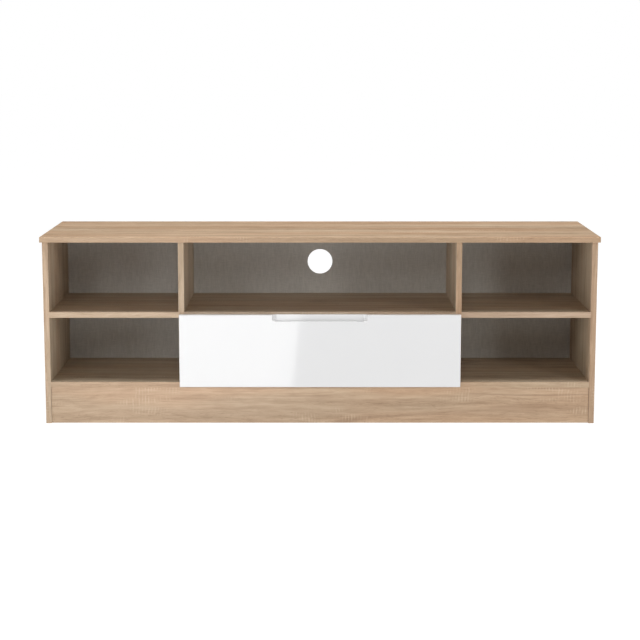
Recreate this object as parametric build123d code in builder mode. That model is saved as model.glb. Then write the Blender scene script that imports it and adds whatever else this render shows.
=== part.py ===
from build123d import *
import os

# Low TV unit: a dowelled board carcass with five open bays and one wide drawer on roller runners.
# Millimetres. +X is the unit's width, the front faces -Y, +Z is up. The origin is on the floor,
# under the middle of the top.

os.makedirs("parts", exist_ok=True)

# Driving dimensions: the whole unit
WIDTH = 1485.0
DEPTH = 415.0
BOARD = 15.0
TOP_SIDE_OVERHANG = 4.0
TOP_FRONT_OVERHANG = 20.0

# The vertical stack, from the floor up
PLINTH_HEIGHT = 98.0
LOWER_BAY_HEIGHT = 175.0
UPPER_BAY_HEIGHT = 189.0
BOTTOM_TOP = PLINTH_HEIGHT + BOARD
SHELF_UNDERSIDE = BOTTOM_TOP + LOWER_BAY_HEIGHT
SHELF_TOP = SHELF_UNDERSIDE + BOARD
TOP_UNDERSIDE = SHELF_TOP + UPPER_BAY_HEIGHT
HEIGHT = TOP_UNDERSIDE + BOARD

# Across the unit
SIDE_OUTER = WIDTH / 2 - TOP_SIDE_OVERHANG
SIDE_INNER = SIDE_OUTER - BOARD
DIVIDER_OUTER = 377.8
DIVIDER_INNER = DIVIDER_OUTER - BOARD
DIVIDER_MIDDLE = DIVIDER_OUTER - BOARD / 2

# Front to back
CARCASS_FRONT = -DEPTH / 2 + TOP_FRONT_OVERHANG
CARCASS_REAR = DEPTH / 2
BACK_FACE = CARCASS_FRONT + 368.0
BACK_THICKNESS = 3.0
BACK_GROOVE_DEPTH = 6.0
BACK_INSERTION = 5.5
BACK_GROOVE_WIDTH = 3.4
CABLE_HOLE_RADIUS = 35.5
CABLE_HOLE_HEIGHT = 394.5

# Edge bands and plinth
BAND = 0.8
TOP_BAND = 2.0
TOP_EDGE_RADIUS = 1.8
PLINTH_SETBACK = 2.0
PLINTH_LIFT = 1.0
PLINTH_END_GAP = 0.5
PLINTH_END = SIDE_INNER - PLINTH_END_GAP
REAR_RAIL_SETBACK = 330.0

# Dowels, pins and glue blocks
DOWEL_RADIUS = 4.0
DOWEL_LENGTH = 30.0
DOWEL_SHALLOW = 10.0
SHELF_DOWEL_SHALLOW = 7.0
DOWEL_CLEARANCE = 0.05
DOWEL_END_GAP = 0.5
CARCASS_DOWEL_ROWS = [CARCASS_FRONT + 40, CARCASS_FRONT + 190, CARCASS_FRONT + 340]
SIDE_SHELF_DOWEL_ROWS = [CARCASS_FRONT + 60, CARCASS_FRONT + 300]
CENTRE_SHELF_DOWEL_ROWS = [CARCASS_FRONT + 90, CARCASS_FRONT + 270]
PLINTH_DOWEL_HEIGHTS = [30.0, 70.0]
PIN_RADIUS = 0.8
PIN_LENGTH = 18.0
PIN_HEAD_RADIUS = 1.9
PIN_HEAD_THICKNESS = 0.7
DIVIDER_PIN_HEIGHTS = [150.0, 250.0, 350.0, 450.0]
LEFT_SHELF_PIN_COLUMNS = [-640.0, -460.0]
CENTRE_SHELF_PIN_COLUMNS = [-230.0, 0.0, 230.0]
RIGHT_SHELF_PIN_COLUMNS = [460.0, 640.0]
GLUE_BLOCK = 22.0
GLUE_BLOCK_LENGTH = 80.0
GLUE_BLOCK_COLUMNS = [-560.0, -190.0, 190.0, 560.0]

# The drawer
FRONT_THICKNESS = 18.0
FRONT_GAP = 1.0
FRONT_HALF_WIDTH = 375.7
FRONT_BOTTOM = BOTTOM_TOP - 10.0
FRONT_TOP = SHELF_UNDERSIDE + 10.0
FRONT_EDGE_RADIUS = 1.0
FRONT_REAR_FACE = CARCASS_FRONT - FRONT_GAP
FRONT_FACE = FRONT_REAR_FACE - FRONT_THICKNESS
PULL_WIDTH = 255.0
PULL_DEPTH = 12.5
PULL_HEIGHT = 18.0
PULL_WALL = 10.5
HOOK_RADIUS = 4.0
HOOK_DROP = 4.5
HOOK_ROUND = 3.5
RUNNER_SPACE = 13.0
DRAWER_BOARD = 12.0
DRAWER_OUTER = DIVIDER_INNER - RUNNER_SPACE
DRAWER_INSIDE = DRAWER_OUTER - DRAWER_BOARD
DRAWER_FLOOR = BOTTOM_TOP + 11.0
DRAWER_RIM = DRAWER_FLOOR + 130.0
DRAWER_LENGTH = 350.0
DRAWER_FRONT_END = FRONT_REAR_FACE
DRAWER_REAR_END = DRAWER_FRONT_END + DRAWER_LENGTH
BASE_HEIGHT = DRAWER_FLOOR + 12.0
BASE_THICKNESS = 3.0
BASE_GROOVE_DEPTH = 6.0
BASE_INSERTION = 5.6
BASE_GROOVE_WIDTH = 3.2
BASE_GROOVE_PLAY = (BASE_GROOVE_WIDTH - BASE_THICKNESS) / 2
BASE_PIN_COLUMNS = [-290.0, -145.0, 0.0, 145.0, 290.0]
DRAWER_DOWEL_RADIUS = 3.0
DRAWER_DOWEL_LENGTH = 25.0
DRAWER_DOWEL_SHALLOW = 8.0
DRAWER_DOWEL_HEIGHTS = [BASE_HEIGHT + 22, BASE_HEIGHT + 58, BASE_HEIGHT + 96]
BUMPER_RADIUS = 4.0
BUMPER_THICKNESS = 0.9
BUMPER_EDGE_DISTANCE = 22.0

# Roller runners: a channel on each divider and an angle on each drawer side
STEEL = 1.2
RUNNER_LENGTH = 350.0
CHANNEL_BOTTOM = BOTTOM_TOP + 7.0
CHANNEL_HEIGHT = 23.2
CHANNEL_REACH = 10.3
CHANNEL_MOUTH = 42.0
RUNNER_START = CARCASS_FRONT + 2.0
ANGLE_TOP = CHANNEL_BOTTOM + 20.5
ANGLE_REACH = 9.7
ANGLE_FOOT = 10.0
ANGLE_FRONT_SETBACK = 4.0
ANGLE_REAR_SETBACK = 14.0
ROLLER_RADIUS = 8.0
ROLLER_WIDTH = 6.2
ROLLER_BORE = 2.05
ROLLING_GAP = 0.3
RIVET_RADIUS = 2.0
RIVET_HEAD_RADIUS = 3.2
RIVET_HEAD_THICKNESS = 0.8
DRAWER_ROLLER_HEIGHT = CHANNEL_BOTTOM + STEEL + ROLLING_GAP + ROLLER_RADIUS
CABINET_ROLLER_HEIGHT = ANGLE_TOP - STEEL - ROLLING_GAP - ROLLER_RADIUS
CABINET_ROLLER_PLACE = RUNNER_START + 12.0
DRAWER_ROLLER_PLACE = DRAWER_FRONT_END + 322.0

# Screws
SCREW_RADIUS = 1.75
SCREW_HEAD_RADIUS = 3.4
SCREW_HEAD_THICKNESS = 1.6
CABINET_SCREW_LENGTH = 11.0
DRAWER_SCREW_LENGTH = 9.0
FRONT_SCREW_LENGTH = 24.0
FRONT_SCREW_HOLE_DEPTH = FRONT_SCREW_LENGTH - DRAWER_BOARD + DOWEL_END_GAP
RUNNER_SCREW_HEIGHT = CHANNEL_BOTTOM + 11.0
CABINET_SCREW_ROWS = [RUNNER_START + 64, RUNNER_START + 164, RUNNER_START + 324]
DRAWER_SCREW_ROWS = [DRAWER_FRONT_END + 34, DRAWER_FRONT_END + 162, DRAWER_FRONT_END + 290]
FRONT_SCREW_COLUMNS = [-300.0, -110.0, 110.0, 300.0]
FRONT_SCREW_HEIGHT = BASE_HEIGHT + 62.0

LEFT = -1
RIGHT = 1
SIDES = {"left": LEFT, "right": RIGHT}


def keep(builder, name):
    """Name a finished piece and write it to its own file."""
    builder.part.label = name
    export_step(builder.part, f"parts/{name}.step")


def slab(x, y, z, mode=Mode.ADD):
    """A plain board between three pairs of coordinates, added to the piece being made."""
    with BuildSketch(Plane.XY.offset(min(z))) as outline:
        with Locations(((x[0] + x[1]) / 2, (y[0] + y[1]) / 2)):
            Rectangle(abs(x[1] - x[0]), abs(y[1] - y[0]))
    extrude(outline.sketch, amount=abs(z[1] - z[0]), mode=mode)


def groove(x, y, z):
    """A straight groove or notch between three pairs of coordinates, cut from the piece."""
    slab(x, y, z, mode=Mode.SUBTRACT)


def rod(start, direction, radius, length, mode=Mode.ADD):
    """A round bar from a point along a direction, added to the piece or drilled out of it."""
    with BuildSketch(Plane(origin=start, z_dir=direction)) as section:
        Circle(radius)
    extrude(section.sketch, amount=length, mode=mode)


def drill(start, direction, radius, depth):
    """A blind hole from a board's face into the board."""
    rod(start, direction, radius, depth, mode=Mode.SUBTRACT)


def turned(start, direction, steps):
    """A round piece made of (radius, from, to) steps along a direction."""
    for radius, begin, end in steps:
        origin = tuple(Vector(start) + Vector(direction) * begin)
        rod(origin, direction, radius, end - begin)


def opposite(direction):
    return tuple(-c for c in direction)


# ---------------------------------------------------------------- dowel joints
# A joint is a dowel's entry point on the shared face, the direction into the thin side of the
# joint (where the dowel goes only a little way), and that shallow depth.

UP = (0, 0, 1)
DOWN = (0, 0, -1)


def outward(side):
    return (side, 0, 0)


top_joints = []
for side in (LEFT, RIGHT):
    for middle in (side * (SIDE_OUTER - BOARD / 2), side * DIVIDER_MIDDLE):
        top_joints += [((middle, y, TOP_UNDERSIDE), UP, DOWEL_SHALLOW) for y in CARCASS_DOWEL_ROWS]

floor_joints = []
for side in (LEFT, RIGHT):
    floor_joints += [
        ((side * DIVIDER_MIDDLE, y, BOTTOM_TOP), DOWN, DOWEL_SHALLOW) for y in CARCASS_DOWEL_ROWS
    ]

BOTTOM_MIDDLE = BOTTOM_TOP - BOARD / 2
SHELF_MIDDLE = SHELF_TOP - BOARD / 2
PLINTH_MIDDLE = CARCASS_FRONT + PLINTH_SETBACK + BOARD / 2
REAR_RAIL_MIDDLE = CARCASS_FRONT + REAR_RAIL_SETBACK + BOARD / 2

side_joints = {}
shelf_divider_joints = {}
centre_joints = {}
for side in (LEFT, RIGHT):
    joints = [
        ((side * SIDE_INNER, y, BOTTOM_MIDDLE), outward(side), DOWEL_SHALLOW)
        for y in CARCASS_DOWEL_ROWS
    ]
    joints += [
        ((side * SIDE_INNER, y, SHELF_MIDDLE), outward(side), DOWEL_SHALLOW)
        for y in SIDE_SHELF_DOWEL_ROWS
    ]
    joints += [
        ((side * SIDE_INNER, y, z), outward(side), DOWEL_SHALLOW)
        for y in (PLINTH_MIDDLE, REAR_RAIL_MIDDLE)
        for z in PLINTH_DOWEL_HEIGHTS
    ]
    side_joints[side] = joints
    shelf_divider_joints[side] = [
        ((side * DIVIDER_OUTER, y, SHELF_MIDDLE), outward(-side), SHELF_DOWEL_SHALLOW)
        for y in SIDE_SHELF_DOWEL_ROWS
    ]
    centre_joints[side] = [
        ((side * DIVIDER_INNER, y, SHELF_MIDDLE), outward(side), SHELF_DOWEL_SHALLOW)
        for y in CENTRE_SHELF_DOWEL_ROWS
    ]


def drill_shallow(joints, radius=DOWEL_RADIUS):
    """The shallow half of each dowel joint, in the board that the dowel points at."""
    for point, direction, shallow in joints:
        drill(point, direction, radius + DOWEL_CLEARANCE, shallow + DOWEL_END_GAP)


def drill_deep(joints, radius=DOWEL_RADIUS, length=DOWEL_LENGTH):
    """The deep half of each dowel joint, in the board that the dowel stands in."""
    for point, direction, shallow in joints:
        depth = length - shallow + DOWEL_END_GAP
        drill(point, opposite(direction), radius + DOWEL_CLEARANCE, depth)


def dowels(joints, radius=DOWEL_RADIUS, length=DOWEL_LENGTH):
    """One dowel in each joint."""
    for point, direction, shallow in joints:
        tail = tuple(Vector(point) - Vector(direction) * (length - shallow))
        rod(tail, direction, radius, length)


# ---------------------------------------------------------------- pins and screws
BACK_REAR = BACK_FACE + BACK_THICKNESS
FORWARD = (0, -1, 0)
BACKWARD = (0, 1, 0)

divider_pins = [
    (side * DIVIDER_MIDDLE, BACK_REAR, z) for side in (LEFT, RIGHT) for z in DIVIDER_PIN_HEIGHTS
]
shelf_pins = {
    "left_shelf": [(x, BACK_REAR, SHELF_MIDDLE) for x in LEFT_SHELF_PIN_COLUMNS],
    "centre_shelf": [(x, BACK_REAR, SHELF_MIDDLE) for x in CENTRE_SHELF_PIN_COLUMNS],
    "right_shelf": [(x, BACK_REAR, SHELF_MIDDLE) for x in RIGHT_SHELF_PIN_COLUMNS],
}
back_pins = divider_pins + [pin for pins in shelf_pins.values() for pin in pins]


def drill_pins(points):
    """Pin holes, entered from the rear of the back panel."""
    for point in points:
        drill(point, FORWARD, PIN_RADIUS + DOWEL_CLEARANCE, PIN_LENGTH + DOWEL_END_GAP)


def runner_screws(face, direction, rows):
    """Entry points of one runner's screws on the face of its board."""
    return [((face, y, RUNNER_SCREW_HEIGHT), direction) for y in rows]


cabinet_screws = {
    side: runner_screws(side * DIVIDER_INNER, outward(side), CABINET_SCREW_ROWS)
    for side in (LEFT, RIGHT)
}
drawer_screws = {
    side: runner_screws(side * DRAWER_OUTER, outward(-side), DRAWER_SCREW_ROWS)
    for side in (LEFT, RIGHT)
}
INNER_FRONT_REAR = DRAWER_FRONT_END + DRAWER_BOARD
front_screws = [(x, INNER_FRONT_REAR, FRONT_SCREW_HEIGHT) for x in FRONT_SCREW_COLUMNS]


def drill_screws(screws, length):
    for point, direction in screws:
        drill(point, direction, SCREW_RADIUS + DOWEL_CLEARANCE, length + DOWEL_END_GAP)


# ---------------------------------------------------------------- carcass boards
GROOVE = (BACK_FACE, BACK_FACE + BACK_GROOVE_WIDTH)
SHELF_SPAN = (CARCASS_FRONT + BAND, BACK_FACE)
CARCASS_SPAN = (CARCASS_FRONT + BAND, CARCASS_REAR)

with BuildPart() as top_panel:
    slab(
        (-WIDTH / 2 + TOP_BAND, WIDTH / 2 - TOP_BAND),
        (-DEPTH / 2 + TOP_BAND, DEPTH / 2),
        (TOP_UNDERSIDE, HEIGHT),
    )
    groove(
        (-SIDE_INNER - BACK_GROOVE_DEPTH, SIDE_INNER + BACK_GROOVE_DEPTH),
        GROOVE,
        (TOP_UNDERSIDE, TOP_UNDERSIDE + BACK_GROOVE_DEPTH),
    )
    drill_shallow(top_joints)
keep(top_panel, "top_panel")

with BuildPart() as top_front_edge_band:
    with BuildSketch(Plane.YZ.offset(-WIDTH / 2)):
        with Locations((-DEPTH / 2 + TOP_BAND / 2, HEIGHT - BOARD / 2)):
            Rectangle(TOP_BAND, BOARD)
    extrude(amount=WIDTH)
    front_edges = top_front_edge_band.edges().filter_by(Axis.X).group_by(Axis.Y)[0]
    corner_edges = top_front_edge_band.edges().filter_by(Axis.Z).group_by(Axis.Y)[0]
    fillet(front_edges + corner_edges, radius=TOP_EDGE_RADIUS)
keep(top_front_edge_band, "top_front_edge_band")

for word, side in SIDES.items():
    with BuildPart() as top_side_edge_band:
        slab(
            (side * (WIDTH / 2 - TOP_BAND), side * WIDTH / 2),
            (-DEPTH / 2 + TOP_BAND, DEPTH / 2),
            (TOP_UNDERSIDE, HEIGHT),
        )
        long_edges = top_side_edge_band.edges().filter_by(Axis.Y)
        outer_edges = long_edges.filter_by(lambda e: abs(abs(e.center().X) - WIDTH / 2) < 0.1)
        fillet(outer_edges, radius=TOP_EDGE_RADIUS)
    keep(top_side_edge_band, f"top_{word}_edge_band")

for word, side in SIDES.items():
    with BuildPart() as side_panel:
        slab((side * SIDE_INNER, side * SIDE_OUTER), CARCASS_SPAN, (0, TOP_UNDERSIDE))
        groove(
            (side * SIDE_INNER, side * (SIDE_INNER + BACK_GROOVE_DEPTH)),
            GROOVE,
            (BOTTOM_TOP - BACK_GROOVE_DEPTH, TOP_UNDERSIDE),
        )
        drill_shallow(side_joints[side])
        drill_deep([joint for joint in top_joints if side * joint[0][0] > SIDE_INNER])
    keep(side_panel, f"{word}_side_panel")

    with BuildPart() as divider:
        slab((side * DIVIDER_INNER, side * DIVIDER_OUTER), SHELF_SPAN, (BOTTOM_TOP, TOP_UNDERSIDE))
        drill_deep([joint for joint in top_joints if 0 < side * joint[0][0] < DIVIDER_OUTER])
        drill_deep([joint for joint in floor_joints if side * joint[0][0] > 0])
        drill_shallow(shelf_divider_joints[side])
        drill_shallow(centre_joints[side])
        drill_pins([pin for pin in divider_pins if side * pin[0] > 0])
        drill_screws(cabinet_screws[side], CABINET_SCREW_LENGTH)
    keep(divider, f"{word}_divider")

    with BuildPart() as side_shelf:
        slab((side * DIVIDER_OUTER, side * SIDE_INNER), SHELF_SPAN, (SHELF_UNDERSIDE, SHELF_TOP))
        drill_deep([joint for joint in side_joints[side] if joint[0][2] == SHELF_MIDDLE])
        drill_deep(shelf_divider_joints[side])
        drill_pins(shelf_pins[f"{word}_shelf"])
    keep(side_shelf, f"{word}_shelf")

with BuildPart() as centre_shelf:
    slab((-DIVIDER_INNER, DIVIDER_INNER), SHELF_SPAN, (SHELF_UNDERSIDE, SHELF_TOP))
    drill_deep(centre_joints[LEFT])
    drill_deep(centre_joints[RIGHT])
    drill_pins(shelf_pins["centre_shelf"])
keep(centre_shelf, "centre_shelf")

with BuildPart() as bottom_panel:
    slab((-SIDE_INNER, SIDE_INNER), CARCASS_SPAN, (PLINTH_HEIGHT, BOTTOM_TOP))
    groove((-SIDE_INNER, SIDE_INNER), GROOVE, (BOTTOM_TOP - BACK_GROOVE_DEPTH, BOTTOM_TOP))
    drill_shallow(floor_joints)
    for side in (LEFT, RIGHT):
        drill_deep([joint for joint in side_joints[side] if joint[0][2] == BOTTOM_MIDDLE])
keep(bottom_panel, "bottom_panel")

plinth_places = {
    "front_plinth": CARCASS_FRONT + PLINTH_SETBACK,
    "rear_plinth_rail": CARCASS_FRONT + REAR_RAIL_SETBACK,
}
for name, face in plinth_places.items():
    with BuildPart() as plinth:
        slab((-PLINTH_END, PLINTH_END), (face, face + BOARD), (PLINTH_LIFT, PLINTH_HEIGHT))
        for side in (LEFT, RIGHT):
            drill_deep([joint for joint in side_joints[side] if joint[0][1] == face + BOARD / 2])
    keep(plinth, name)

with BuildPart() as plinth_glue_blocks:
    for x in GLUE_BLOCK_COLUMNS:
        for face, reach in (
            (CARCASS_FRONT + PLINTH_SETBACK + BOARD, GLUE_BLOCK),
            (CARCASS_FRONT + REAR_RAIL_SETBACK, -GLUE_BLOCK),
        ):
            with BuildSketch(Plane.YZ.offset(x - GLUE_BLOCK_LENGTH / 2)):
                with BuildLine():
                    Polyline(
                        (face, PLINTH_HEIGHT),
                        (face + reach, PLINTH_HEIGHT),
                        (face, PLINTH_HEIGHT - GLUE_BLOCK),
                        close=True,
                    )
                make_face()
            extrude(amount=GLUE_BLOCK_LENGTH)
keep(plinth_glue_blocks, "plinth_glue_blocks")

with BuildPart() as back_panel:
    slab(
        (-SIDE_INNER - BACK_INSERTION, SIDE_INNER + BACK_INSERTION),
        (BACK_FACE, BACK_REAR),
        (BOTTOM_TOP - BACK_INSERTION, TOP_UNDERSIDE + BACK_INSERTION),
    )
    drill((0, BACK_FACE, CABLE_HOLE_HEIGHT), BACKWARD, CABLE_HOLE_RADIUS, BACK_THICKNESS)
    drill_pins(back_pins)
keep(back_panel, "back_panel")

# ---------------------------------------------------------------- thin front edge bands
FRONT_BAND = (CARCASS_FRONT, CARCASS_FRONT + BAND)
band_places = {
    "left_side_edge_band": ((-SIDE_OUTER, -SIDE_INNER), (0, TOP_UNDERSIDE)),
    "right_side_edge_band": ((SIDE_INNER, SIDE_OUTER), (0, TOP_UNDERSIDE)),
    "left_divider_edge_band": ((-DIVIDER_OUTER, -DIVIDER_INNER), (BOTTOM_TOP, TOP_UNDERSIDE)),
    "right_divider_edge_band": ((DIVIDER_INNER, DIVIDER_OUTER), (BOTTOM_TOP, TOP_UNDERSIDE)),
    "left_shelf_edge_band": ((-SIDE_INNER, -DIVIDER_OUTER), (SHELF_UNDERSIDE, SHELF_TOP)),
    "centre_shelf_edge_band": ((-DIVIDER_INNER, DIVIDER_INNER), (SHELF_UNDERSIDE, SHELF_TOP)),
    "right_shelf_edge_band": ((DIVIDER_OUTER, SIDE_INNER), (SHELF_UNDERSIDE, SHELF_TOP)),
    "bottom_edge_band": ((-SIDE_INNER, SIDE_INNER), (PLINTH_HEIGHT, BOTTOM_TOP)),
}
for name, (x, z) in band_places.items():
    with BuildPart() as edge_band:
        slab(x, FRONT_BAND, z)
    keep(edge_band, name)

# ---------------------------------------------------------------- carcass fasteners
all_joints = top_joints + floor_joints
for side in (LEFT, RIGHT):
    all_joints += side_joints[side] + shelf_divider_joints[side] + centre_joints[side]

with BuildPart() as carcass_dowels:
    dowels(all_joints)
keep(carcass_dowels, "carcass_dowels")

with BuildPart() as back_panel_pins:
    for point in back_pins:
        turned(
            point,
            FORWARD,
            [(PIN_HEAD_RADIUS, -PIN_HEAD_THICKNESS, 0), (PIN_RADIUS, 0, PIN_LENGTH)],
        )
keep(back_panel_pins, "back_panel_pins")

# ---------------------------------------------------------------- drawer boards
drawer_corner_joints = {
    side: [
        ((side * DRAWER_INSIDE, y, z), outward(side), DRAWER_DOWEL_SHALLOW)
        for y in (DRAWER_FRONT_END + DRAWER_BOARD / 2, DRAWER_REAR_END - DRAWER_BOARD / 2)
        for z in DRAWER_DOWEL_HEIGHTS
    ]
    for side in (LEFT, RIGHT)
}
BASE_GROOVE = (BASE_HEIGHT - BASE_GROOVE_PLAY, BASE_HEIGHT + BASE_THICKNESS + BASE_GROOVE_PLAY)

# the groove behind the lip of the finger pull, which the fingertips hook into
PULL_STRAIGHT = PULL_WIDTH - 2 * PULL_DEPTH
with BuildPart() as hook_groove:
    with BuildSketch(Plane.XY.offset(FRONT_TOP - PULL_HEIGHT - HOOK_DROP)):
        with Locations((0, FRONT_FACE + PULL_DEPTH - HOOK_RADIUS)):
            SlotCenterToCenter(PULL_STRAIGHT, 2 * HOOK_RADIUS)
    extrude(amount=HOOK_DROP + PULL_HEIGHT - PULL_WALL)
    fillet(hook_groove.faces().sort_by(Axis.Z)[0].edges(), radius=HOOK_ROUND)

with BuildPart() as drawer_front:
    slab(
        (-FRONT_HALF_WIDTH, FRONT_HALF_WIDTH),
        (FRONT_FACE, FRONT_REAR_FACE),
        (FRONT_BOTTOM, FRONT_TOP),
    )
    # the finger pull: a cove with an upright back wall, run along the face and rounded at its ends
    for x in (-PULL_STRAIGHT / 2, PULL_STRAIGHT / 2):
        with BuildSketch(Plane.YZ.offset(x)) as cove:
            with BuildLine():
                Line((FRONT_FACE, FRONT_TOP), (FRONT_FACE + PULL_DEPTH, FRONT_TOP))
                Line(
                    (FRONT_FACE + PULL_DEPTH, FRONT_TOP),
                    (FRONT_FACE + PULL_DEPTH, FRONT_TOP - PULL_WALL),
                )
                EllipticalCenterArc(
                    (FRONT_FACE, FRONT_TOP - PULL_WALL),
                    PULL_DEPTH,
                    PULL_HEIGHT - PULL_WALL,
                    start_angle=270,
                    arc_size=90,
                )
                Line((FRONT_FACE, FRONT_TOP - PULL_HEIGHT), (FRONT_FACE, FRONT_TOP))
            make_face()
        end_axis = Axis((x, FRONT_FACE, FRONT_TOP), (0, 0, 1))
        revolve(cove.sketch, axis=end_axis, revolution_arc=180, mode=Mode.SUBTRACT)
        revolve(cove.sketch, axis=end_axis, revolution_arc=-180, mode=Mode.SUBTRACT)
    extrude(cove.sketch, amount=-PULL_STRAIGHT, mode=Mode.SUBTRACT)
    add(hook_groove.part, mode=Mode.SUBTRACT)
    face_edges = drawer_front.faces().sort_by(Axis.Y)[0].edges()
    fillet(face_edges, radius=FRONT_EDGE_RADIUS)
    for x, y, z in front_screws:
        drill(
            (x, FRONT_REAR_FACE, z),
            FORWARD,
            SCREW_RADIUS + DOWEL_CLEARANCE,
            FRONT_SCREW_HOLE_DEPTH,
        )
keep(drawer_front, "drawer_front")

for word, side in SIDES.items():
    with BuildPart() as drawer_side:
        slab(
            (side * DRAWER_INSIDE, side * DRAWER_OUTER),
            (DRAWER_FRONT_END, DRAWER_REAR_END),
            (DRAWER_FLOOR, DRAWER_RIM),
        )
        groove(
            (side * DRAWER_INSIDE, side * (DRAWER_INSIDE + BASE_GROOVE_DEPTH)),
            (DRAWER_FRONT_END, DRAWER_REAR_END),
            BASE_GROOVE,
        )
        drill_shallow(drawer_corner_joints[side], DRAWER_DOWEL_RADIUS)
        drill_screws(drawer_screws[side], DRAWER_SCREW_LENGTH)
    keep(drawer_side, f"drawer_{word}_side")

with BuildPart() as drawer_inner_front:
    slab(
        (-DRAWER_INSIDE, DRAWER_INSIDE),
        (DRAWER_FRONT_END, INNER_FRONT_REAR),
        (DRAWER_FLOOR, DRAWER_RIM),
    )
    groove(
        (-DRAWER_INSIDE, DRAWER_INSIDE),
        (INNER_FRONT_REAR - BASE_GROOVE_DEPTH, INNER_FRONT_REAR),
        BASE_GROOVE,
    )
    for side in (LEFT, RIGHT):
        front_joints = [j for j in drawer_corner_joints[side] if j[0][1] < 0]
        drill_deep(front_joints, DRAWER_DOWEL_RADIUS, DRAWER_DOWEL_LENGTH)
    for point in front_screws:
        drill(point, FORWARD, SCREW_RADIUS + DOWEL_CLEARANCE, DRAWER_BOARD)
keep(drawer_inner_front, "drawer_inner_front")

BACK_FOOT = BASE_HEIGHT + BASE_THICKNESS
base_pins = [(x, DRAWER_REAR_END - DRAWER_BOARD / 2, BASE_HEIGHT) for x in BASE_PIN_COLUMNS]

with BuildPart() as drawer_back:
    slab(
        (-DRAWER_INSIDE, DRAWER_INSIDE),
        (DRAWER_REAR_END - DRAWER_BOARD, DRAWER_REAR_END),
        (BACK_FOOT, DRAWER_RIM),
    )
    for side in (LEFT, RIGHT):
        rear_joints = [j for j in drawer_corner_joints[side] if j[0][1] > 0]
        drill_deep(rear_joints, DRAWER_DOWEL_RADIUS, DRAWER_DOWEL_LENGTH)
    for point in base_pins:
        drill(point, UP, PIN_RADIUS + DOWEL_CLEARANCE, PIN_LENGTH + DOWEL_END_GAP)
keep(drawer_back, "drawer_back")

with BuildPart() as drawer_base:
    slab(
        (-DRAWER_INSIDE - BASE_INSERTION, DRAWER_INSIDE + BASE_INSERTION),
        (INNER_FRONT_REAR - BASE_INSERTION, DRAWER_REAR_END),
        (BASE_HEIGHT, BASE_HEIGHT + BASE_THICKNESS),
    )
    for point in base_pins:
        drill(point, UP, PIN_RADIUS + DOWEL_CLEARANCE, BASE_THICKNESS)
keep(drawer_base, "drawer_base")

# ---------------------------------------------------------------- drawer fasteners
with BuildPart() as drawer_dowels:
    for side in (LEFT, RIGHT):
        dowels(drawer_corner_joints[side], DRAWER_DOWEL_RADIUS, DRAWER_DOWEL_LENGTH)
keep(drawer_dowels, "drawer_dowels")

with BuildPart() as drawer_front_screws:
    for point in front_screws:
        turned(
            point,
            FORWARD,
            [(SCREW_HEAD_RADIUS, -SCREW_HEAD_THICKNESS, 0), (SCREW_RADIUS, 0, FRONT_SCREW_LENGTH)],
        )
keep(drawer_front_screws, "drawer_front_screws")

with BuildPart() as drawer_base_pins:
    for point in base_pins:
        turned(
            point,
            UP,
            [(PIN_HEAD_RADIUS, -PIN_HEAD_THICKNESS, 0), (PIN_RADIUS, 0, PIN_LENGTH)],
        )
keep(drawer_base_pins, "drawer_base_pins")

with BuildPart() as drawer_bumpers:
    for side in (LEFT, RIGHT):
        for z in (FRONT_BOTTOM + BUMPER_EDGE_DISTANCE, FRONT_TOP - BUMPER_EDGE_DISTANCE):
            rod((side * DIVIDER_MIDDLE, FRONT_REAR_FACE, z), BACKWARD, BUMPER_RADIUS, BUMPER_THICKNESS)
keep(drawer_bumpers, "drawer_bumpers")

# ---------------------------------------------------------------- roller runners
CHANNEL_TOP = CHANNEL_BOTTOM + CHANNEL_HEIGHT
RUNNER_END = RUNNER_START + RUNNER_LENGTH
ANGLE_FRONT = DRAWER_FRONT_END + ANGLE_FRONT_SETBACK
ANGLE_END = DRAWER_REAR_END - ANGLE_REAR_SETBACK
ANGLE_FLOOR = DRAWER_FLOOR - STEEL


def roller_rivets(places):
    """A rivet through each roller, headed on both sides. A place is (web's far face, side, y, z)."""
    for far_face, toward, y, z in places:
        reach = STEEL + ROLLING_GAP + ROLLER_WIDTH + ROLLING_GAP
        turned(
            (far_face, y, z),
            (toward, 0, 0),
            [(RIVET_RADIUS, 0, reach), (RIVET_HEAD_RADIUS, reach, reach + RIVET_HEAD_THICKNESS)],
        )


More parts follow.
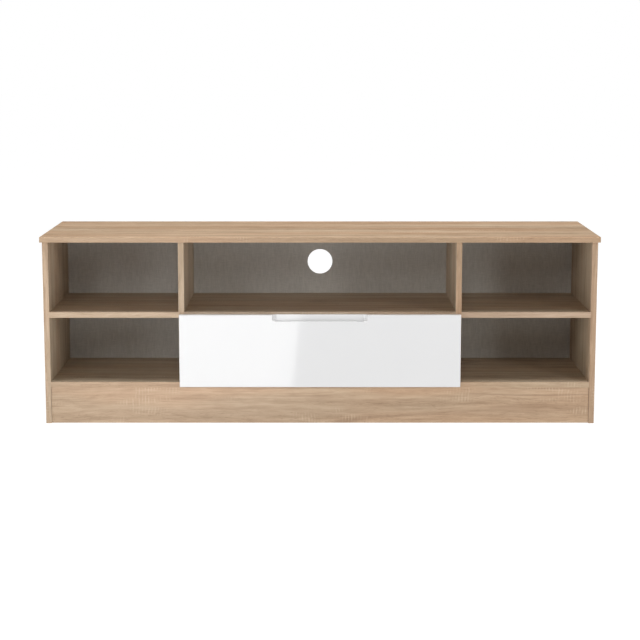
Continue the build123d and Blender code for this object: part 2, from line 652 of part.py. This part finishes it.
for word, side in SIDES.items():
    web = side * DIVIDER_INNER
    web_face = web - side * STEEL
    lip = web_face - side * (CHANNEL_REACH - STEEL)
    with BuildPart() as cabinet_runner:
        slab((web, web_face), (RUNNER_START, RUNNER_END), (CHANNEL_BOTTOM, CHANNEL_TOP))
        slab((web_face, lip), (RUNNER_START, RUNNER_END), (CHANNEL_BOTTOM, CHANNEL_BOTTOM + STEEL))
        slab(
            (web_face, lip),
            (RUNNER_START + CHANNEL_MOUTH, RUNNER_END),
            (CHANNEL_TOP - STEEL, CHANNEL_TOP),
        )
        slab((web_face, lip), (RUNNER_END - STEEL, RUNNER_END), (CHANNEL_BOTTOM, CHANNEL_TOP))
        for point, direction in cabinet_screws[side]:
            drill((web_face, point[1], point[2]), direction, SCREW_RADIUS + DOWEL_CLEARANCE, STEEL)
        drill(
            (web_face, CABINET_ROLLER_PLACE, CABINET_ROLLER_HEIGHT),
            outward(side),
            RIVET_RADIUS + DOWEL_CLEARANCE,
            STEEL,
        )
    keep(cabinet_runner, f"{word}_cabinet_runner")

    plate = side * DRAWER_OUTER
    plate_face = plate + side * STEEL
    with BuildPart() as drawer_runner:
        slab((plate, plate_face), (ANGLE_FRONT, ANGLE_END), (ANGLE_FLOOR, ANGLE_TOP))
        slab(
            (plate_face, plate + side * ANGLE_REACH),
            (ANGLE_FRONT, ANGLE_END),
            (ANGLE_TOP - STEEL, ANGLE_TOP),
        )
        slab(
            (plate, plate - side * ANGLE_FOOT),
            (ANGLE_FRONT, ANGLE_END),
            (ANGLE_FLOOR, DRAWER_FLOOR),
        )
        for point, direction in drawer_screws[side]:
            drill((plate_face, point[1], point[2]), direction, SCREW_RADIUS + DOWEL_CLEARANCE, STEEL)
        drill(
            (plate, DRAWER_ROLLER_PLACE, DRAWER_ROLLER_HEIGHT),
            outward(side),
            RIVET_RADIUS + DOWEL_CLEARANCE,
            STEEL,
        )
    keep(drawer_runner, f"{word}_drawer_runner")

    cabinet_roller_start = web_face - side * ROLLING_GAP
    with BuildPart() as cabinet_roller:
        rod(
            (cabinet_roller_start, CABINET_ROLLER_PLACE, CABINET_ROLLER_HEIGHT),
            outward(-side),
            ROLLER_RADIUS,
            ROLLER_WIDTH,
        )
        drill(
            (cabinet_roller_start, CABINET_ROLLER_PLACE, CABINET_ROLLER_HEIGHT),
            outward(-side),
            ROLLER_BORE,
            ROLLER_WIDTH,
        )
    keep(cabinet_roller, f"{word}_cabinet_roller")

    drawer_roller_start = plate_face + side * ROLLING_GAP
    with BuildPart() as drawer_roller:
        rod(
            (drawer_roller_start, DRAWER_ROLLER_PLACE, DRAWER_ROLLER_HEIGHT),
            outward(side),
            ROLLER_RADIUS,
            ROLLER_WIDTH,
        )
        drill(
            (drawer_roller_start, DRAWER_ROLLER_PLACE, DRAWER_ROLLER_HEIGHT),
            outward(side),
            ROLLER_BORE,
            ROLLER_WIDTH,
        )
    keep(drawer_roller, f"{word}_drawer_roller")

with BuildPart() as cabinet_roller_rivets:
    roller_rivets(
        [
            (side * DIVIDER_INNER, -side, CABINET_ROLLER_PLACE, CABINET_ROLLER_HEIGHT)
            for side in (LEFT, RIGHT)
        ]
    )
keep(cabinet_roller_rivets, "cabinet_roller_rivets")

with BuildPart() as drawer_roller_rivets:
    roller_rivets(
        [
            (side * DRAWER_OUTER, side, DRAWER_ROLLER_PLACE, DRAWER_ROLLER_HEIGHT)
            for side in (LEFT, RIGHT)
        ]
    )
keep(drawer_roller_rivets, "drawer_roller_rivets")


def pan_head_screws(screws, shank):
    """Screws seated on the steel web: the head on the web's face, the shank into the board."""
    for point, direction in screws:
        turned(
            point,
            direction,
            [
                (SCREW_HEAD_RADIUS, -STEEL - SCREW_HEAD_THICKNESS, -STEEL),
                (SCREW_RADIUS, -STEEL, shank),
            ],
        )


with BuildPart() as cabinet_runner_screws:
    pan_head_screws(cabinet_screws[LEFT] + cabinet_screws[RIGHT], CABINET_SCREW_LENGTH)
keep(cabinet_runner_screws, "cabinet_runner_screws")

with BuildPart() as drawer_runner_screws:
    pan_head_screws(drawer_screws[LEFT] + drawer_screws[RIGHT], DRAWER_SCREW_LENGTH)
keep(drawer_runner_screws, "drawer_runner_screws")
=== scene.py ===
"""Low TV unit in sawn-oak decor board with one white gloss drawer: its looks, around the CAD frame."""

import math

import bpy
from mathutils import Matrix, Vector


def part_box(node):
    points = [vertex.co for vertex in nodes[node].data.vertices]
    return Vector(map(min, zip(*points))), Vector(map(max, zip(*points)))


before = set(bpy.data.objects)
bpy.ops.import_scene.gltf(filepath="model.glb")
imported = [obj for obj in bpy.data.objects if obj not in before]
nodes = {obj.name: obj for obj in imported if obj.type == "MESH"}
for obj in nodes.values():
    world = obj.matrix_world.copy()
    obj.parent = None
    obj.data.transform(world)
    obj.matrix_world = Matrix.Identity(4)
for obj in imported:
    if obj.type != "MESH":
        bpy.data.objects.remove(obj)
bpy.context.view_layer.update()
scene = bpy.context.scene
WHITE = (1.0, 1.0, 1.0, 1.0)

# ------------------------------------------------------------------ camera
CAMERA_DISTANCE = 4.550
CAMERA_HEIGHT = 1.0033
CAMERA_PITCH = math.radians(9.007)
CAMERA_LENS = 96.95
CAMERA_SENSOR = 36.0
CAMERA_REACH = 100.0


def add_camera():
    """A long lens on the unit's middle line, looking a little down."""
    data = bpy.data.cameras.new("camera")
    data.lens = CAMERA_LENS
    data.sensor_width = CAMERA_SENSOR
    data.clip_end = CAMERA_REACH
    camera = bpy.data.objects.new("camera", data)
    carcass_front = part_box("left_side_edge_band")[0].y
    camera.location = (0.0, carcass_front - CAMERA_DISTANCE, CAMERA_HEIGHT)
    camera.rotation_euler = (math.pi / 2 - CAMERA_PITCH, 0.0, 0.0)
    scene.collection.objects.link(camera)
    scene.camera = camera
    scene.view_settings.view_transform = "Standard"


add_camera()

# ------------------------------------------------------------------ studio lights
# name: (place, size in metres, power in watts); every one is aimed at the unit. The powers started
# from a fit of the whole set.
LIGHT_AIM = (0.0, -0.1, 0.25)
LIGHTS = {
    "top": ((0.0, -0.21, 3.45), 1.2, 69),
    "left_high": ((-1.55, -0.51, 3.02), 1.2, 31),
    "right_high": ((1.55, -0.51, 3.02), 1.2, 31),
    "front": ((0.0, -3.02, 1.55), 0.5, 10.3),
    "left": ((-2.18, -1.04, 0.51), 0.35, 4.9),
    "left_front_low": ((-1.63, -1.64, 0.51), 0.35, 4.4),
    "left_near": ((-1.09, -1.78, 0.96), 0.35, 3.6),
    "right": ((2.74, -1.68, 0.70), 0.5, 6.0),
    "right_front_low": ((1.63, -1.64, 0.51), 0.35, 4.6),
    "right_front": ((1.56, -1.54, 0.96), 0.35, 3.1),
}
# these two fill the rear, and stay out of the top's sheen
REAR_LIGHTS = {
    "rear_left": ((-1.6, 2.67, 0.6), 0.6, 10),
    "rear_right": ((1.6, 2.67, 0.6), 0.6, 10),
}


def add_light(name, place, size, power):
    data = bpy.data.lights.new(name, "AREA")
    data.shape = "SQUARE"
    data.size = size
    data.energy = power
    light = bpy.data.objects.new(name, data)
    light.location = place
    light.rotation_euler = (Vector(LIGHT_AIM) - Vector(place)).to_track_quat("-Z", "Y").to_euler()
    light.visible_camera = False
    scene.collection.objects.link(light)
    return light


for light_name, settings in LIGHTS.items():
    add_light(light_name, *settings)
for light_name, settings in REAR_LIGHTS.items():
    add_light(light_name, *settings).visible_glossy = False

CARD_DISTANCE = 0.5
CARD_RIGHT_EDGE = -0.072
CARD_MIDDLE_HEIGHT = 0.11
CARD_SIZE = (0.7, 0.5)
CARD_LEAN = math.radians(6.3)
CARD_RADIANCE = 3.6


def add_card():
    """A pale card low in front of the unit, which only glossy surfaces see: it is the lacquer's sheen."""
    width, height = CARD_SIZE
    data = bpy.data.lights.new("card", "AREA")
    data.shape = "RECTANGLE"
    data.size = width
    data.size_y = height
    data.energy = CARD_RADIANCE * math.pi * width * height
    card = bpy.data.objects.new("card", data)
    front_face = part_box("drawer_front")[0].y
    card.location = (CARD_RIGHT_EDGE - width / 2, front_face - CARD_DISTANCE, CARD_MIDDLE_HEIGHT)
    card.rotation_euler = (math.pi / 2, CARD_LEAN, 0.0)
    for kind in ("camera", "diffuse", "transmission", "volume_scatter"):
        setattr(card, f"visible_{kind}", False)
    scene.collection.objects.link(card)


add_card()


# ------------------------------------------------------------------ a small shader kit
class Graph:
    """Adds shader nodes to one tree. An input is a number, a colour or another node's socket."""

    def __init__(self, tree):
        self.tree = tree

    def put(self, target, value):
        if isinstance(value, bpy.types.NodeSocket):
            self.tree.links.new(value, target)
        else:
            target.default_value = value

    def node(self, kind, inputs=None, **settings):
        made = self.tree.nodes.new(kind)
        for key, value in settings.items():
            setattr(made, key, value)
        for key, value in (inputs or {}).items():
            self.put(made.inputs[key], value)
        return made

    def math(self, operation, a, b=0.0):
        return self.node("ShaderNodeMath", {0: a, 1: b}, operation=operation).outputs[0]

    def vector(self, operation, a, b):
        return self.node("ShaderNodeVectorMath", {0: a, 1: b}, operation=operation).outputs[0]

    def combine(self, **axes):
        return self.node("ShaderNodeCombineXYZ", axes).outputs[0]

    def separate(self, vector):
        return self.node("ShaderNodeSeparateXYZ", {"Vector": vector}).outputs

    def facing(self):
        """The surface's own direction, by axis."""
        return self.separate(self.node("ShaderNodeTexCoord").outputs["Normal"])

    def noise(self, place, counts, detail=2.0, roughness=0.5):
        """Noise with counts of blobs per metre: one number, or one for each axis."""
        if isinstance(counts, float):
            counts = (counts, counts, counts)
        inputs = {
            "Vector": self.vector("MULTIPLY", place, counts),
            "Scale": 1.0,
            "Detail": detail,
            "Roughness": roughness,
        }
        return self.node("ShaderNodeTexNoise", inputs).outputs["Fac"]

    def grain(self, place, along, across, detail=2.0, roughness=0.5):
        """Noise drawn out along X: blobs per metre along the grain and across it."""
        return self.noise(place, (along, across, across), detail, roughness)

    def swing(self, value, reach):
        """Noise as a swing to both sides of zero."""
        return self.math("MULTIPLY", self.math("SUBTRACT", value, 0.5), reach)

    def between(self, value, low, high, to_low=0.0, to_high=1.0):
        """The value's place between low and high, held inside to_low and to_high."""
        inputs = {"Value": value, "From Min": low, "From Max": high, "To Min": to_low, "To Max": to_high}
        made = self.node("ShaderNodeMapRange", inputs, interpolation_type="SMOOTHSTEP")
        return made.outputs["Result"]

    def mix(self, share, a, b, blend="MIX"):
        made = self.node("ShaderNodeMix", data_type="RGBA", blend_type=blend)
        factor, first, second = made.inputs[0], made.inputs[6], made.inputs[7]
        self.put(factor, share)
        self.put(first, a)
        self.put(second, b)
        return made.outputs[2]

    def ramp(self, value, stops):
        made = self.node("ShaderNodeValToRGB", {"Fac": value})
        elements = made.color_ramp.elements
        while len(elements) < len(stops):
            elements.new(0.5)
        for element, (position, colour) in zip(elements, stops):
            element.position = position
            element.color = colour
        return made.outputs["Color"]

    def bump(self, height, distance, strength):
        inputs = {"Height": height, "Distance": distance, "Strength": strength}
        return self.node("ShaderNodeBump", inputs).outputs["Normal"]


def srgb(red, green, blue):
    """A colour given in 0 to 255 display values, as the linear colour that a shader takes."""
    channels = [c / 255.0 for c in (red, green, blue)]
    linear = [c / 12.92 if c <= 0.04045 else ((c + 0.055) / 1.055) ** 2.4 for c in channels]
    return (*linear, 1.0)


def material(name):
    """A new material with its graph, its Principled shader and its coordinates in metres."""
    made = bpy.data.materials.new(name)
    made.use_nodes = True
    graph = Graph(made.node_tree)
    shader = made.node_tree.nodes["Principled BSDF"]
    place = graph.node("ShaderNodeTexCoord").outputs["Object"]
    return made, graph, shader, place


def surface(g, shader, colour, roughness, normal):
    """Join a finish to its shader."""
    g.put(shader.inputs["Base Color"], colour)
    g.put(shader.inputs["Roughness"], roughness)
    g.put(shader.inputs["Normal"], normal)


# ------------------------------------------------------------------ sawn oak decor
OAK_DARK = srgb(146, 117, 90)
OAK_SHADE = srgb(174, 147, 120)
OAK_MIDDLE = srgb(187, 160, 133)
OAK_LIGHT = srgb(202, 178, 151)
OAK_VEIN = srgb(128, 98, 72)
OAK_SAWN = srgb(214, 194, 168)
OAK_TONES = [(0.0, OAK_DARK), (0.35, OAK_SHADE), (0.62, OAK_MIDDLE), (1.0, OAK_LIGHT)]
OAK_RED_TINT = (1.03, 0.985, 0.955, 1.0)
OAK_OLIVE_TINT = (0.975, 1.0, 1.01, 1.0)
# share of the tone, streaks per metre along and across the grain, detail
OAK_STREAKS = {
    "broad": (0.70, 0.6, 12.0, 2.0),
    "medium": (0.85, 1.3, 38.0, 3.0),
    "narrow": (0.75, 4.0, 120.0, 3.0),
    "fleck": (0.80, 16.0, 170.0, 3.0),
    "fibre": (0.75, 20.0, 480.0, 3.0),
}
STREAK_ROUGHNESS = 0.55
SWAY_REACH = 0.035
RIPPLE_REACH = 0.008
RING_COUNT = 11
RING_SHARE = 0.36
SAW_PITCH = 0.0083
SAW_DRIFT = 1.5
SAW_SHARE = 0.45
PORE_SHARE = 0.42


def oak_bend(g, place):
    """Slow waves, which bend every streak a little."""
    sway = g.swing(g.grain(place, 1.3, 6.0), SWAY_REACH)
    ripple = g.swing(g.grain(place, 9.0, 16.0), RIPPLE_REACH)
    shift = g.math("ADD", sway, ripple)
    return g.vector("ADD", place, g.combine(Y=shift, Z=shift))


def oak_rings(g, place, bent):
    """Growth rings: nested narrow arcs, which come and go along the board."""
    turns = g.math("MULTIPLY", g.grain(bent, 0.8, 9.0, detail=1.0), 2 * math.pi * RING_COUNT)
    lines = g.between(g.math("SINE", turns), 0.45, 1.0)
    return g.math("MULTIPLY", lines, g.between(g.grain(place, 1.8, 10.0, detail=1.0), 0.50, 0.68))


def oak_saw_marks(g, place):
    """Saw marks: patches of pale lines across the grain."""
    drift = g.math("MULTIPLY", g.grain(place, 9.0, 30.0, detail=1.0), SAW_DRIFT)
    turns = g.math("ADD", g.math("DIVIDE", g.separate(place)["X"], SAW_PITCH), drift)
    cut = g.between(g.math("SINE", g.math("MULTIPLY", turns, 2 * math.pi)), 0.1, 0.95)
    patch = g.between(g.grain(place, 7.0, 22.0), 0.59, 0.72)
    uneven = g.between(g.grain(place, 130.0, 50.0, detail=0.0), 0.3, 0.65, 0.2, 1.0)
    return g.math("MULTIPLY", g.math("MULTIPLY", cut, patch), uneven)


def oak_pores(g, bent, medium):
    """Short open pores, mostly in the darker streaks."""
    pores = g.between(g.grain(bent, 70.0, 900.0, detail=1.0), 0.58, 0.70)
    return g.math("MULTIPLY", pores, g.between(medium, 0.40, 0.60, 1.0, 0.35))


def oak_group():
    """The decor's print: along the board is the grain, X here, and Y and Z are across it."""
    group = bpy.data.node_groups.new("sawn_oak", "ShaderNodeTree")
    group.interface.new_socket("Vector", in_out="INPUT", socket_type="NodeSocketVector")
    group.interface.new_socket("Contrast", in_out="INPUT", socket_type="NodeSocketFloat")
    group.interface.new_socket("Color", in_out="OUTPUT", socket_type="NodeSocketColor")
    group.interface.new_socket("Roughness", in_out="OUTPUT", socket_type="NodeSocketFloat")
    group.interface.new_socket("Height", in_out="OUTPUT", socket_type="NodeSocketFloat")
    g = Graph(group)
    given = g.node("NodeGroupInput").outputs
    place = given["Vector"]
    bent = oak_bend(g, place)

    tone = 0.0
    streaks = {}
    for name, (share, along, across, detail) in OAK_STREAKS.items():
        streaks[name] = g.grain(bent, along, across, detail, STREAK_ROUGHNESS)
        tone = g.math("ADD", tone, g.swing(streaks[name], share))
    tone = g.math("ADD", g.math("MULTIPLY", tone, given["Contrast"]), 0.5)
    hue = g.between(g.grain(place, 1.6, 13.0), 0.36, 0.64)
    colour = g.mix(1.0, g.ramp(tone, OAK_TONES), g.mix(hue, OAK_RED_TINT, OAK_OLIVE_TINT), "MULTIPLY")

    rings = oak_rings(g, place, bent)
    saw = oak_saw_marks(g, place)
    pores = oak_pores(g, bent, streaks["medium"])
    colour = g.mix(g.math("MULTIPLY", rings, RING_SHARE), colour, OAK_VEIN)
    colour = g.mix(g.math("MULTIPLY", saw, SAW_SHARE), colour, OAK_SAWN)
    colour = g.mix(g.math("MULTIPLY", pores, PORE_SHARE), colour, OAK_VEIN)

    rough = g.between(streaks["medium"], 0.3, 0.7, 0.54, 0.42)
    rough = g.math("ADD", rough, g.math("MULTIPLY", pores, 0.15))
    height = g.math("MULTIPLY", streaks["fibre"], 0.35)
    height = g.math("SUBTRACT", height, g.math("MULTIPLY", pores, 0.6))
    height = g.math("ADD", height, g.math("MULTIPLY", saw, 0.35))
    g.node("NodeGroupOutput", {"Color": colour, "Roughness": rough, "Height": height})
    return group


CHIP_PALE = srgb(205, 178, 140)
CHIP_DARK = srgb(142, 110, 76)
CHIP_COUNTS = (330.0, 330.0, 520.0)


def chipboard(g, place):
    """The pressed chips of a raw board edge: its colour and its height."""
    inputs = {"Vector": g.vector("MULTIPLY", place, CHIP_COUNTS), "Scale": 1.0}
    chips = g.separate(g.node("ShaderNodeTexVoronoi", inputs, feature="F1").outputs["Color"])["X"]
    grit = g.noise(place, 900.0, detail=3.0)
    shade = g.math("ADD", g.math("MULTIPLY", chips, 0.65), g.math("MULTIPLY", grit, 0.5))
    return g.mix(g.between(shade, 0.15, 0.95), CHIP_DARK, CHIP_PALE), shade


# the grain's axis becomes X, in the order that the other two follow it
GRAIN_ORDERS = {"X": "XYZ", "Y": "YZX", "Z": "ZXY"}


def oak(name, grain, offset, raw_rear, tone_and_painted_light, contrast, inner_only):
    """One board's decor: its own stretch of the print, and raw chipboard where nothing covers it."""
    made, g, shader, place = material(name)
    parts = g.separate(place)
    facing = g.facing()
    turned = g.combine(**{axis: parts[source] for axis, source in zip("XYZ", GRAIN_ORDERS[grain])})
    decor = g.node("ShaderNodeGroup", node_tree=oak_print)
    g.put(decor.inputs["Vector"], g.vector("ADD", turned, offset))
    g.put(decor.inputs["Contrast"], contrast)
    colour, height = decor.outputs["Color"], decor.outputs["Height"]
    # the board's tone factor, partly painted light: on the inside boards it lightens the bays as painted
    # light, and on a side panel only its inner faces get it
    if tone_and_painted_light:
        share = 1.0
        if inner_only:
            outward = g.math("MULTIPLY", parts["X"], facing["X"])
            share = g.between(outward, -0.1, 0.1, 1.0, 0.0)
        colour = g.mix(share, colour, (*tone_and_painted_light, 1.0), "MULTIPLY")
    if raw_rear:
        rear = g.between(facing["Y"], 0.6, 0.8)
        chips, grit = chipboard(g, place)
        colour = g.mix(rear, colour, chips)
        height = g.math("ADD", height, g.math("MULTIPLY", g.math("MULTIPLY", rear, grit), 2.0))
    surface(g, shader, colour, decor.outputs["Roughness"], g.bump(height, 0.00012, 0.6))
    shader.inputs["Specular IOR Level"].default_value = 0.5
    return made


# ------------------------------------------------------------------ the other finishes
def white_gloss():
    """Sprayed and polished lacquer, with a faint orange peel."""
    made, g, shader, place = material("white_gloss_lacquer")
    colour = g.mix(g.noise(place, 5.0), srgb(223, 223, 224), srgb(226, 226, 226))
    wiped = g.between(g.noise(place, 40.0), 0.3, 0.7, 0.08, 0.11)
    peel = g.noise(place, 260.0, detail=1.0)
    surface(g, shader, colour, wiped, g.bump(peel, 0.00001, 0.2))
    return made


LINEN_DARK = srgb(178, 176, 170)
LINEN_LIGHT = srgb(197, 194, 188)
# share of the weave, then threads per metre along each axis and their detail
LINEN_THREADS = [
    (0.42, (520.0, 1.0, 48.0), 3.0, 0.65),
    (0.38, (48.0, 1.0, 520.0), 3.0, 0.65),
    (0.20, (130.0, 1.0, 22.0), 2.0, 0.5),
]
HARDBOARD_DARK = srgb(112, 80, 54)
HARDBOARD_LIGHT = srgb(146, 108, 76)


def linen_board():
    """Hardboard: a printed linen on the face that shows, and bare fibre on the rear."""
    made, g, shader, place = material("linen_hardboard")
    weave = 0.0
    for share, counts, detail, roughness in LINEN_THREADS:
        weave = g.math("ADD", weave, g.math("MULTIPLY", g.noise(place, counts, detail, roughness), share))
    linen = g.mix(g.between(weave, 0.36, 0.64), LINEN_DARK, LINEN_LIGHT)
    fibre = g.noise(place, 210.0, detail=4.0, roughness=0.7)
    bare = g.mix(g.between(fibre, 0.3, 0.7), HARDBOARD_DARK, HARDBOARD_LIGHT)
    front = g.between(g.facing()["Y"], -0.8, -0.6, 1.0, 0.0)
    rough = g.between(weave, 0.3, 0.7, 0.75, 0.6)
    surface(g, shader, g.mix(front, bare, linen), rough, g.bump(g.mix(front, fibre, weave), 0.0001, 0.5))
    shader.inputs["Specular IOR Level"].default_value = 0.3
    return made


FOIL_PALE = srgb(226, 224, 219)
FOIL_SHADE = srgb(214, 212, 206)


def drawer_foil(name, counts):
    """Paper-foil drawer board: nearly plain, with a fine brushed print."""
    made, g, shader, place = material(name)
    brushed = g.noise(place, counts, detail=3.0, roughness=0.6)
    specks = g.noise(place, 700.0, detail=1.0)
    tone = g.math("ADD", g.math("MULTIPLY", brushed, 0.7), g.math("MULTIPLY", specks, 0.3))
    colour = g.mix(g.between(tone, 0.35, 0.65), FOIL_SHADE, FOIL_PALE)
    surface(g, shader, colour, g.between(tone, 0.3, 0.7, 0.55, 0.45), g.bump(tone, 0.00005, 0.4))
    return made


def beech():
    made, g, shader, place = material("beech_wood")
    flecks = g.noise(place, (260.0, 260.0, 40.0), detail=3.0)
    colour = g.mix(g.between(flecks, 0.35, 0.65), srgb(188, 148, 108), srgb(214, 180, 140))
    surface(g, shader, colour, g.between(flecks, 0.3, 0.7, 0.7, 0.55), g.bump(flecks, 0.0001, 0.5))
    return made


def epoxy_steel():
    """Roller runners: pale epoxy powder on steel."""
    made, g, shader, place = material("epoxy_coated_steel")
    grit = g.noise(place, 1400.0)
    rubbed = g.noise(place, (40.0, 6.0, 200.0))
    colour = g.mix(g.between(rubbed, 0.35, 0.7), srgb(226, 226, 222), srgb(212, 212, 208))
    surface(g, shader, colour, g.between(rubbed, 0.3, 0.7, 0.30, 0.42), g.bump(grit, 0.00003, 0.4))
    return made


def zinc_steel():
    """Zinc-plated fasteners."""
    made, g, shader, place = material("zinc_plated_steel")
    cloud = g.noise(place, 500.0, detail=3.0)
    colour = g.mix(g.between(cloud, 0.3, 0.7), srgb(168, 170, 174), srgb(206, 207, 206))
    surface(g, shader, colour, g.between(cloud, 0.3, 0.7, 0.28, 0.45), g.bump(cloud, 0.00004, 0.4))
    shader.inputs["Metallic"].default_value = 1.0
    return made


def roller_nylon():
    made, g, shader, place = material("roller_nylon")
    cloud = g.noise(place, 300.0)
    colour = g.mix(g.between(cloud, 0.3, 0.7), srgb(222, 220, 212), srgb(236, 234, 228))
    surface(g, shader, colour, g.between(cloud, 0.3, 0.7, 0.38, 0.5), g.bump(cloud, 0.00004, 0.3))
    shader.inputs["Subsurface Weight"].default_value = 0.1
    shader.inputs["Subsurface Scale"].default_value = 0.002
    return made


def bumper_pad():
    """Half-clear silicone."""
    made, g, shader, place = material("bumper_silicone")
    cloud = g.noise(place, 400.0)
    g.put(shader.inputs["Base Color"], g.mix(cloud, srgb(205, 208, 208), srgb(228, 230, 230)))
    g.put(shader.inputs["Roughness"], g.between(cloud, 0.3, 0.7, 0.2, 0.35))
    shader.inputs["Transmission Weight"].default_value = 0.4
    return made


# ------------------------------------------------------------------ finishes on the CAD nodes
# board: (grain along, whether its rear edge is raw)
OAK_BOARDS = {
    "top_panel": ("X", True),
    "top_front_edge_band": ("X", False),
    "top_left_edge_band": ("Y", False),
    "top_right_edge_band": ("Y", False),
    "left_side_panel": ("Z", True),
    "right_side_panel": ("Z", True),
    "left_side_edge_band": ("Z", False),
    "right_side_edge_band": ("Z", False),
    "left_divider": ("Z", False),
    "right_divider": ("Z", False),
    "left_divider_edge_band": ("Z", False),
    "right_divider_edge_band": ("Z", False),
    "bottom_panel": ("X", True),
    "bottom_edge_band": ("X", False),
    "left_shelf": ("X", False),
    "right_shelf": ("X", False),
    "centre_shelf": ("X", False),
    "left_shelf_edge_band": ("X", False),
    "right_shelf_edge_band": ("X", False),
    "centre_shelf_edge_band": ("X", False),
    "front_plinth": ("X", False),
    "rear_plinth_rail": ("X", False),
}

# Factors on the print's red, green and blue that bring each board to its tone under these lights. They
# are partly each board's own tone and partly painted light: the left side's edge band is lightened and
# the right side's darkened, for light that falls more from the left. The inside ones are painted light,
# large because too little light reaches the bays: a real board has one print.
INSIDE_PAINTED_LIGHT = (1.01, 1.13, 1.22)
SIDE_INSIDE_PAINTED_LIGHT = (1.12, 1.25, 1.35)
OAK_TONE_AND_PAINTED_LIGHT = {
    "top_front_edge_band": (0.93, 0.88, 0.82),
    "left_side_edge_band": (1.04, 1.09, 1.12),
    "right_side_edge_band": (0.94, 0.93, 0.92),
    "left_divider_edge_band": (0.92, 0.93, 0.91),
    "right_divider_edge_band": (0.92, 0.87, 0.82),
    "bottom_edge_band": (0.97, 0.96, 0.93),
    "left_shelf_edge_band": (0.97, 0.97, 0.95),
    "centre_shelf_edge_band": (0.90, 0.94, 0.99),
    "right_shelf_edge_band": (1.01, 1.02, 1.06),
    "front_plinth": (1.00, 0.98, 0.95),
    "left_side_panel": SIDE_INSIDE_PAINTED_LIGHT,
    "right_side_panel": SIDE_INSIDE_PAINTED_LIGHT,
    "left_divider": INSIDE_PAINTED_LIGHT,
    "right_divider": INSIDE_PAINTED_LIGHT,
    "bottom_panel": INSIDE_PAINTED_LIGHT,
    "left_shelf": INSIDE_PAINTED_LIGHT,
    "centre_shelf": INSIDE_PAINTED_LIGHT,
    "right_shelf": INSIDE_PAINTED_LIGHT,
}
# how strong the streaks are, where it isn't 1
OAK_CONTRASTS = {"top_panel": 1.6, "top_front_edge_band": 0.75}
# Which stretch of the print a board shows, where it isn't the board's own place in the list:
# each was picked out of 120 tries for the tone that it gives.
OAK_STRETCHES = {
    "top_panel": 13,
    "top_front_edge_band": 79,
    "bottom_edge_band": 35,
    "left_shelf_edge_band": 65,
    "right_shelf_edge_band": 11,
}
STRETCH_STEP = Vector((1.37, 0.31, 0.53))


def dress(node, finish):
    """Give a CAD node its finish, in every material slot that it has."""
    slots = nodes[node].data.materials
    if not slots:
        slots.append(finish)
    for index in range(len(slots)):
        slots[index] = finish


oak_print = oak_group()
for index, (board, (grain, raw)) in enumerate(OAK_BOARDS.items()):
    offset = STRETCH_STEP * OAK_STRETCHES.get(board, index)
    tone_and_painted_light, contrast = OAK_TONE_AND_PAINTED_LIGHT.get(board), OAK_CONTRASTS.get(board, 1.0)
    inner_only = board.endswith("side_panel")
    dress(board, oak(f"oak_{board}", grain, offset, raw, tone_and_painted_light, contrast, inner_only))

FINISHES = {
    white_gloss(): ["drawer_front"],
    linen_board(): ["back_panel"],
    drawer_foil("drawer_foil_long", (900.0, 14.0, 900.0)): ["drawer_left_side", "drawer_right_side"],
    drawer_foil("drawer_foil_wide", (14.0, 900.0, 900.0)): ["drawer_inner_front", "drawer_back"],
    drawer_foil("drawer_base_print", (10.0, 420.0, 420.0)): ["drawer_base"],
    beech(): ["carcass_dowels", "drawer_dowels", "plinth_glue_blocks"],
    epoxy_steel(): [
        "left_cabinet_runner",
        "right_cabinet_runner",
        "left_drawer_runner",
        "right_drawer_runner",
    ],
    zinc_steel(): [
        "back_panel_pins",
        "cabinet_roller_rivets",
        "cabinet_runner_screws",
        "drawer_base_pins",
        "drawer_front_screws",
        "drawer_roller_rivets",
        "drawer_runner_screws",
    ],
    roller_nylon(): [
        "left_cabinet_roller",
        "right_cabinet_roller",
        "left_drawer_roller",
        "right_drawer_roller",
    ],
    bumper_pad(): ["drawer_bumpers"],
}
for finish, members in FINISHES.items():
    for member in members:
        dress(member, finish)

# ------------------------------------------------------------------ surround and floor
FLOOR_SIZE = 60.0
FLOOR_GLOW = 1.0
FLOOR_GREY = (0.12, 0.12, 0.12, 1.0)


def add_world():
    """White behind everything, as the camera sees it. It gives no light: the lights and the floor do."""
    world = bpy.data.worlds.new("studio")
    scene.world = world
    world.use_nodes = True
    g = Graph(world.node_tree)
    surround = world.node_tree.nodes["Background"]
    g.put(surround.inputs["Strength"], 0.0)
    backdrop = g.node("ShaderNodeBackground", {"Color": WHITE})
    seen = g.node("ShaderNodeLightPath").outputs["Is Camera Ray"]
    mixed = g.node("ShaderNodeMixShader", {0: seen, 1: surround.outputs[0], 2: backdrop.outputs[0]})
    g.put(world.node_tree.nodes["World Output"].inputs["Surface"], mixed.outputs[0])


def add_floor():
    """A pale floor that glows a little, so that it is as white as what is behind it."""
    mesh = bpy.data.meshes.new("floor")
    half = FLOOR_SIZE / 2
    corners = [(-half, -half, 0.0), (half, -half, 0.0), (half, half, 0.0), (-half, half, 0.0)]
    mesh.from_pydata(corners, [], [(0, 1, 2, 3)])
    floor = bpy.data.objects.new("floor", mesh)
    scene.collection.objects.link(floor)
    finish, _, shader, _ = material("pale_floor")
    shader.inputs["Base Color"].default_value = FLOOR_GREY
    shader.inputs["Emission Color"].default_value = WHITE
    shader.inputs["Emission Strength"].default_value = FLOOR_GLOW
    shader.inputs["Roughness"].default_value = 0.9
    shader.inputs["Specular IOR Level"].default_value = 0.1
    mesh.materials.append(finish)


add_world()
add_floor()
